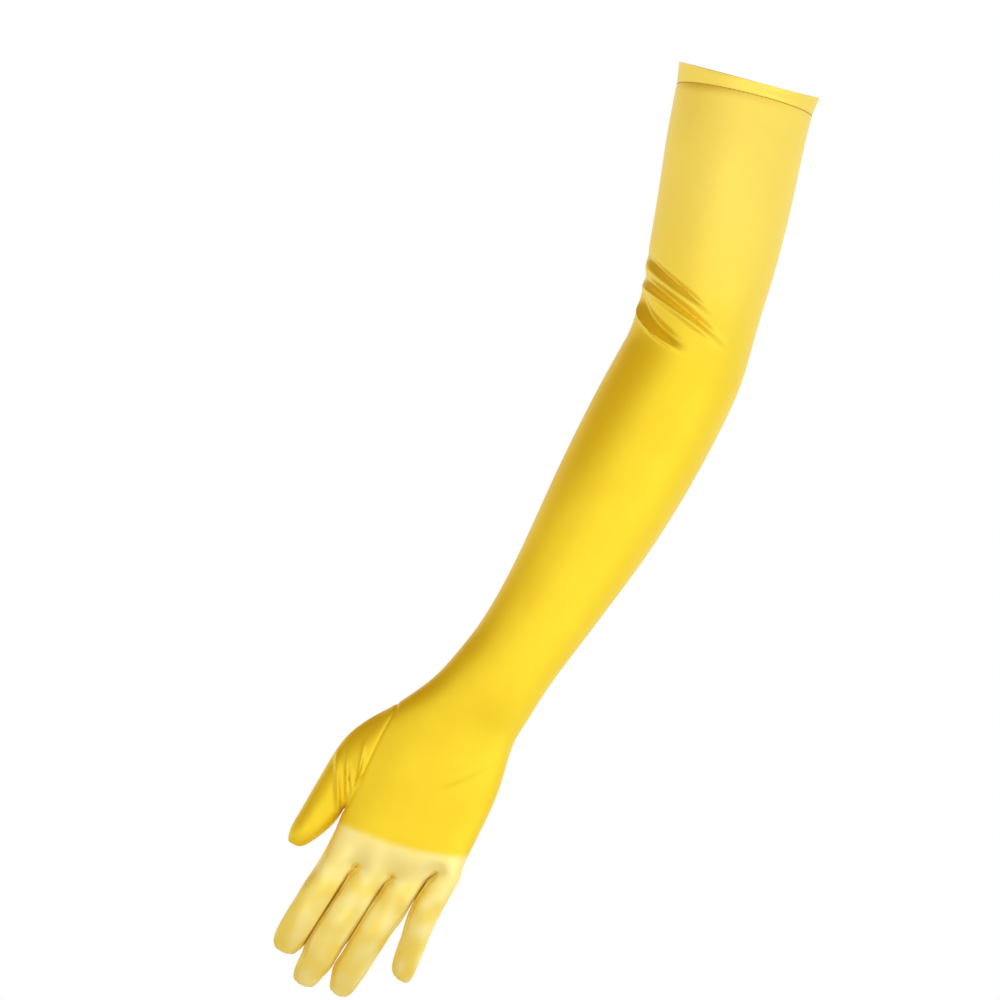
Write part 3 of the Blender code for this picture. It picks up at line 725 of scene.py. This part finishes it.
# Real floats lie about 0.1 mm apart, too fine to show, so they are drawn 0.45 mm apart and 2.25 mm long.
FLOAT_MM = 0.45
FLOAT_LONG_MM = 2.25
FLOAT_HEIGHT = 0.0002
FACE_GRAIN = 0.12
DULL_GRAIN = 0.25
CLOUD_MM = 26.3


def from_hex(code):
    """An sRGB colour as Blender's linear values."""
    shares = [int(code[i : i + 2], 16) / 255 for i in (1, 3, 5)]
    return tuple(s / 12.92 if s <= 0.04045 else ((s + 0.055) / 1.055) ** 2.4 for s in shares) + (1.0,)


def add_node(tree, kind, settings=None, links=None):
    """Adds a node, sets its properties or inputs by name, and links other nodes' outputs to its inputs.

    An input that shares its name with others goes by its number: on a Mix node 0 is the factor, 2 and 3 are
    the numbers that it mixes, and 6 and 7 are the colours.
    """
    node = tree.nodes.new(kind)
    for name, value in (settings or {}).items():
        if name in node.inputs.keys():
            node.inputs[name].default_value = value
        elif name.isdigit():
            node.inputs[int(name)].default_value = value
        else:
            setattr(node, name, value)
    for name, output in (links or {}).items():
        tree.links.new(output, node.inputs[int(name)] if name.isdigit() else node.inputs[name])
    return node


def make_satin(name, face_side):
    """The satin's material on its bright face, or on its dull back."""
    material = bpy.data.materials.new(name)
    material.use_nodes = True
    material.diffuse_color = from_hex(SATIN_BRIGHT)
    tree = material.node_tree
    shader = tree.nodes["Principled BSDF"]
    shader.inputs["IOR"].default_value = SATIN_IOR
    cloth = add_node(tree, "ShaderNodeUVMap", {"uv_map": "cloth"})
    threads = add_node(
        tree,
        "ShaderNodeMapping",
        {"Scale": (1000 / FLOAT_MM, 1000 / FLOAT_LONG_MM, 1.0)},
        {"Vector": cloth.outputs["UV"]},
    )
    floats = add_node(
        tree,
        "ShaderNodeTexNoise",
        {"Scale": 1.0, "Detail": 2.0, "Roughness": 0.6},
        {"Vector": threads.outputs["Vector"]},
    )
    bump = add_node(
        tree,
        "ShaderNodeBump",
        {"Strength": FACE_GRAIN if face_side else DULL_GRAIN, "Distance": FLOAT_HEIGHT},
        {"Height": floats.outputs["Fac"]},
    )
    tree.links.new(bump.outputs["Normal"], shader.inputs["Normal"])
    if not face_side:
        shader.inputs["Base Color"].default_value = from_hex(SATIN_BACK)
        shader.inputs["Roughness"].default_value = SATIN_DULL_ROUGHNESS
        return material
    place = add_node(tree, "ShaderNodeTexCoord")
    clouds = add_node(
        tree,
        "ShaderNodeTexNoise",
        {"Scale": 1000 / CLOUD_MM, "Detail": 3.0, "Roughness": 0.5},
        {"Vector": place.outputs["Object"]},
    )
    tone = add_node(
        tree,
        "ShaderNodeMix",
        {"data_type": "RGBA", "6": from_hex(SATIN_BRIGHT), "7": from_hex(SATIN_DEEP)},
        {"0": clouds.outputs["Fac"]},
    )
    # Mixed towards the pale colour where stretch and a painted highlight are stored.
    pale_stretch_and_highlight = add_node(tree, "ShaderNodeAttribute", {"attribute_name": "pale_stretch_and_highlight"})
    pale = add_node(
        tree,
        "ShaderNodeMix",
        {"data_type": "RGBA", "7": from_hex(SATIN_STRETCHED_AND_HIGHLIGHT)},
        {"0": pale_stretch_and_highlight.outputs["Fac"], "6": tone.outputs[2]},
    )
    tree.links.new(pale.outputs[2], shader.inputs["Base Color"])
    shine = add_node(
        tree,
        "ShaderNodeMapRange",
        {"To Min": SATIN_ROUGHNESS[0], "To Max": SATIN_ROUGHNESS[1]},
        {"Value": clouds.outputs["Fac"]},
    )
    tree.links.new(shine.outputs["Result"], shader.inputs["Roughness"])
    tangent = add_node(tree, "ShaderNodeTangent", {"direction_type": "UV_MAP", "uv_map": "cloth"})
    tree.links.new(tangent.outputs["Tangent"], shader.inputs["Tangent"])
    for socket, value in SATIN_FACE.items():
        shader.inputs[socket].default_value = value
    return material


satin_face = make_satin("woven_polyester_elastane_satin", True)
satin_back = make_satin("satin_dull_side", False)

# Cutting and sewing.
# Each piece is the skin's faces of one mark, given the cloth's thickness towards the inside. The face side
# and the dull side keep their own materials, and the cut edge counts as the face side.

CLOTH = 0.0006
SHARP_EDGE = 60.0
# Where the pale colour is painted: the top of the sleeve, and the knuckles and fingers in spots, partly for
# stretch and partly as a painted highlight.
UPPER_SLEEVE_STRETCH_AND_HIGHLIGHT = 0.28
UPPER_SLEEVE_END = -0.16
UPPER_SLEEVE_FADE = 0.10
STRETCH_AND_HIGHLIGHT_TOP = -0.4385
STRETCH_AND_HIGHLIGHT_FADE = 0.0045
BORDER_LEFT = -0.019
BORDER_SLOPE = 0.10
BORDER_BOW = 3.2
KNUCKLE_BAND = 0.014
KNUCKLE_FADE = 0.016
KNUCKLE_SPOTS = 0.35
SPOTS_PER_M = Vector((150, 80, 100))
SPOT_CONTRAST = 0.9
SPOT_LOSS = 0.50
EVEN_LOSS = 0.10
PALM_SIDE = 0.1
PALM_SIDE_FADE = 0.7
PALM_SIDE_LOSS = 0.9


def stretch_and_highlight_at(point, normal):
    """How pale the satin is painted, partly for the cloth's stretch and partly as a painted highlight: a
    little at the top of the sleeve, most over the knuckles.

    On the hand it begins at a bowed border, grows uneven in soft painted highlight spots towards the
    fingertips, and is slight on the palm's side.
    """
    on_upper_sleeve = UPPER_SLEEVE_STRETCH_AND_HIGHLIGHT * smooth_step((point.z - UPPER_SLEEVE_END) / UPPER_SLEEVE_FADE)
    border = STRETCH_AND_HIGHLIGHT_TOP + BORDER_SLOPE * (point.x - BORDER_LEFT) + BORDER_BOW * max(point.x, 0) ** 2
    below = border - point.z
    on_fingers = KNUCKLE_SPOTS + (1 - KNUCKLE_SPOTS) * smooth_step((below - KNUCKLE_BAND) / KNUCKLE_FADE)
    uneven = smooth_step(0.5 + SPOT_CONTRAST * noise.noise(point * SPOTS_PER_M))
    spots = 1 - on_fingers * (EVEN_LOSS + SPOT_LOSS * uneven)
    on_back = 1 - PALM_SIDE_LOSS * smooth_step((normal.y - PALM_SIDE) / PALM_SIDE_FADE)
    return on_upper_sleeve + smooth_step(below / STRETCH_AND_HIGHLIGHT_FADE) * on_back * spots


def cut_piece(name, mark, wall):
    """Cuts one piece out of the skin by its mark, and gives it two sides and a wall between them."""
    faces = [f for f in skin.faces if f.material_index == mark]
    chosen = set(faces)
    skin_map = skin.loops.layers.uv["cloth"]
    cloth = bmesh.new()
    new_map = cloth.loops.layers.uv.new("cloth")
    pale_stretch_and_highlight = cloth.verts.layers.float.new("pale_stretch_and_highlight")
    outer, inner = {}, {}
    for face in faces:
        for vert in face.verts:
            if vert in outer:
                continue
            outer[vert] = cloth.verts.new(vert.co)
            inner[vert] = cloth.verts.new(vert.co - vert.normal * wall)
            # The pale mix of stretch and painted highlight, none on the thumb.
            outer[vert][pale_stretch_and_highlight] = 0.0 if mark == THUMB_PIECE else stretch_and_highlight_at(vert.co, vert.normal)
    for face in faces:
        front = cloth.faces.new([outer[v] for v in face.verts])
        back = cloth.faces.new([inner[v] for v in reversed(face.verts)])
        back.material_index = 1
        for loop, source in zip(front.loops, face.loops):
            loop[new_map].uv = source[skin_map].uv
        for loop, source in zip(back.loops, reversed(face.loops)):
            loop[new_map].uv = source[skin_map].uv
        for loop in face.loops:
            if sum(f in chosen for f in loop.edge.link_faces) == 1:
                a, b = loop.vert, loop.link_loop_next.vert
                cloth.faces.new([outer[b], outer[a], inner[a], inner[b]])
    for face in cloth.faces:
        face.smooth = True
    mesh = bpy.data.meshes.new(name)
    cloth.to_mesh(mesh)
    cloth.free()
    mesh.materials.append(satin_face)
    mesh.materials.append(satin_back)
    mesh.set_sharp_from_angle(angle=math.radians(SHARP_EDGE))
    piece = bpy.data.objects.new(name, mesh)
    bpy.context.scene.collection.objects.link(piece)
    return piece


# The trank, the glove's main piece: sleeve, palm, back of the hand and the fronts and backs of the fingers,
# cut in one from the yellow satin, with the other pieces sewn into it. It stands for two solids, the sleeve
# and the trank, because the real glove has no seam between them.

trank = cut_piece("trank_cloth", TRANK, CLOTH)
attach(trank, "root")
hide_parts("sleeve", "trank")

# The thumb, a shaped piece of the same satin, closed round and sewn into the opening in the side of the
# palm. On the back of the hand its seam runs straight from the wrist to where the thumb leaves the palm.

thumb = cut_piece("thumb_cloth", THUMB_PIECE, CLOTH)
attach(thumb, "root")
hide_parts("thumb")

# The fourchettes, three narrow strips of the same satin. Each goes up one finger's side, over the web and
# down the next one's, sewn to the fronts and the backs of both.

for mark, name in zip(FOURCHETTES, ("index_middle", "middle_ring", "ring_little")):
    strip = cut_piece(f"fourchette_{name}_cloth", mark, CLOTH)
    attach(strip, "root")
    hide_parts(f"fourchette_{name}")

# The hem, the sleeve's end turned in and doubled, so it is more than twice as thick as the rest. One row of
# lockstitch holds it eight millimetres below the fold.

HEM_WALL = 0.0014
hem = cut_piece("hem_band_cloth", HEM, HEM_WALL)
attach(hem, "root")
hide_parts("hem_band")

# The lockstitch of the hem, in twisted polyester thread a shade darker than the satin. Each stitch is a short
# rod that lies in the seam's groove, with a small gap before the next one.

THREAD_GOLD = "#C79C1E"
THREAD_ROUGHNESS = 0.6
THREAD_RADIUS = 0.00017
THREAD_PROUD = 1.5 * THREAD_RADIUS
HEM_STITCH = 0.0024
STITCH_LENGTH = 0.0019
THREAD_SIDES = 6


def make_plain(name, colour, roughness):
    """A plain dyed or painted finish, of one colour and one roughness."""
    material = bpy.data.materials.new(name)
    material.use_nodes = True
    material.diffuse_color = from_hex(colour)
    shader = material.node_tree.nodes["Principled BSDF"]
    shader.inputs["Base Color"].default_value = from_hex(colour)
    shader.inputs["Roughness"].default_value = roughness
    return material


thread = make_plain("polyester_sewing_thread", THREAD_GOLD, THREAD_ROUGHNESS)
edge = [v for v in seam_verts if {f.material_index for f in v.link_faces} == {HEM, TRANK}]
edge_middle = sum((v.co for v in edge), Vector()) / len(edge)
edge.sort(key=lambda v: math.atan2(v.co.y - edge_middle.y, v.co.x - edge_middle.x))
row = [v.co + v.normal * THREAD_PROUD for v in edge]
row.append(row[0])
lengths = [(b - a).length for a, b in zip(row, row[1:])]


def along_row(distance):
    """A point on the stitched line, and the way it runs there."""
    for a, b, length in zip(row, row[1:], lengths):
        if distance <= length:
            return a.lerp(b, distance / length), (b - a).normalized()
        distance -= length
    return row[-1], (row[-1] - row[-2]).normalized()


stitches = bmesh.new()
count = round(sum(lengths) / HEM_STITCH)
for number in range(count):
    spot, way = along_row(sum(lengths) * (number + 0.5) / count)
    place = Matrix.Translation(spot) @ way.to_track_quat("Z", "Y").to_matrix().to_4x4()
    bmesh.ops.create_cone(
        stitches,
        cap_ends=True,
        segments=THREAD_SIDES,
        radius1=THREAD_RADIUS,
        radius2=THREAD_RADIUS,
        depth=STITCH_LENGTH,
        matrix=place,
    )
stitch_mesh = bpy.data.meshes.new("hem_stitches")
stitches.to_mesh(stitch_mesh)
stitches.free()
stitch_mesh.materials.append(thread)
hem_stitches = bpy.data.objects.new("hem_stitches", stitch_mesh)
bpy.context.scene.collection.objects.link(hem_stitches)
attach(hem_stitches, "root")

# The studio: a pale floor, a bright room with a dimmer gold reflector high on the thumb's side, and two large
# soft lights from the right and the front. The camera sees plain white behind the glove.

FLOOR_DROP = 0.23
FLOOR_RADIUS = 0.75
PIXEL_M = 0.00052
PHOTO_TURN = 26.0
CUFF_PIXEL = (749, 80)
PHOTO_SIZE = 1000
LENS_MM = 135
SENSOR_MM = 36
FLOOR_PALE = "#FFFFFF"
FLOOR_ROUGHNESS = 0.9
ROOM_DIM = 0.40
ROOM_BRIGHT = 1.0
REFLECTOR_GOLD = "#FFCA28"
REFLECTOR_RISE = 75.0
REFLECTOR_FULL = -0.70
REFLECTOR_END = -0.48

floor_mesh = bpy.data.meshes.new("floor")
shape = bmesh.new()
bmesh.ops.create_circle(shape, cap_ends=True, segments=96, radius=FLOOR_RADIUS)
shape.to_mesh(floor_mesh)
shape.free()
floor = bpy.data.objects.new("floor", floor_mesh)
floor.location.z = cad_low.z - FLOOR_DROP
bpy.context.scene.collection.objects.link(floor)
floor_mesh.materials.append(make_plain("white_painted_board", FLOOR_PALE, FLOOR_ROUGHNESS))

turn = math.radians(PHOTO_TURN)
across = Vector((math.cos(turn), 0, math.sin(turn)))
up = Vector((-math.sin(turn), 0, math.cos(turn)))
rise = math.radians(REFLECTOR_RISE)

world = bpy.data.worlds.new("studio")
world.use_nodes = True
tree = world.node_tree
around = add_node(tree, "ShaderNodeTexCoord")
lit_side = add_node(
    tree,
    "ShaderNodeVectorMath",
    {"operation": "DOT_PRODUCT", "1": across * math.cos(rise) - up * math.sin(rise)},
    {"0": around.outputs["Generated"]},
)
fill = add_node(
    tree,
    "ShaderNodeMapRange",
    {"From Min": REFLECTOR_FULL, "From Max": REFLECTOR_END, "To Min": ROOM_DIM, "To Max": ROOM_BRIGHT},
    {"Value": lit_side.outputs["Value"]},
)
ray = add_node(tree, "ShaderNodeLightPath")
room = add_node(
    tree,
    "ShaderNodeMix",
    {"3": 1.0},
    {"0": ray.outputs["Is Camera Ray"], "2": fill.outputs["Result"]},
)
tree.links.new(room.outputs[0], tree.nodes["Background"].inputs["Strength"])
board = add_node(
    tree,
    "ShaderNodeMapRange",
    {"From Min": ROOM_DIM, "From Max": ROOM_BRIGHT},
    {"Value": room.outputs[0]},
)
tint = add_node(
    tree,
    "ShaderNodeMix",
    {"data_type": "RGBA", "6": from_hex(REFLECTOR_GOLD), "7": (1.0, 1.0, 1.0, 1.0)},
    {"0": board.outputs["Result"]},
)
tree.links.new(tint.outputs[2], tree.nodes["Background"].inputs["Color"])
bpy.context.scene.world = world
bpy.context.scene.view_settings.view_transform = "Standard"

middle = across * (PHOTO_SIZE / 2 - CUFF_PIXEL[0]) * PIXEL_M - up * (PHOTO_SIZE / 2 - CUFF_PIXEL[1]) * PIXEL_M
distance = PHOTO_SIZE * PIXEL_M / 2 / (SENSOR_MM / 2 / LENS_MM)
camera_data = bpy.data.cameras.new("camera")
camera_data.lens = LENS_MM
camera_data.sensor_width = SENSOR_MM
camera = bpy.data.objects.new("camera", camera_data)
bpy.context.scene.collection.objects.link(camera)
turned = Matrix((across, up, Vector((0, -1, 0)))).transposed().to_4x4()
camera.matrix_world = Matrix.Translation(middle + Vector((0, -distance, 0))) @ turned
bpy.context.scene.camera = camera

SoftLight = namedtuple("SoftLight", "name at aim wide watts")
LIGHTS = (
    SoftLight("key_right", (1.20, -0.95, -0.40), (0.02, 0.0, -0.22), 0.9, 1.5),
    SoftLight("front", (0.10, -1.80, -0.60), (0.02, 0.0, -0.26), 1.6, 2.8),
)
for light in LIGHTS:
    data = bpy.data.lights.new(light.name, "AREA")
    data.shape = "SQUARE"
    data.size = light.wide
    data.energy = light.watts
    lamp = bpy.data.objects.new(light.name, data)
    lamp.location = light.at
    lamp.rotation_euler = (Vector(light.aim) - Vector(light.at)).to_track_quat("-Z", "Y").to_euler()
    bpy.context.scene.collection.objects.link(lamp)
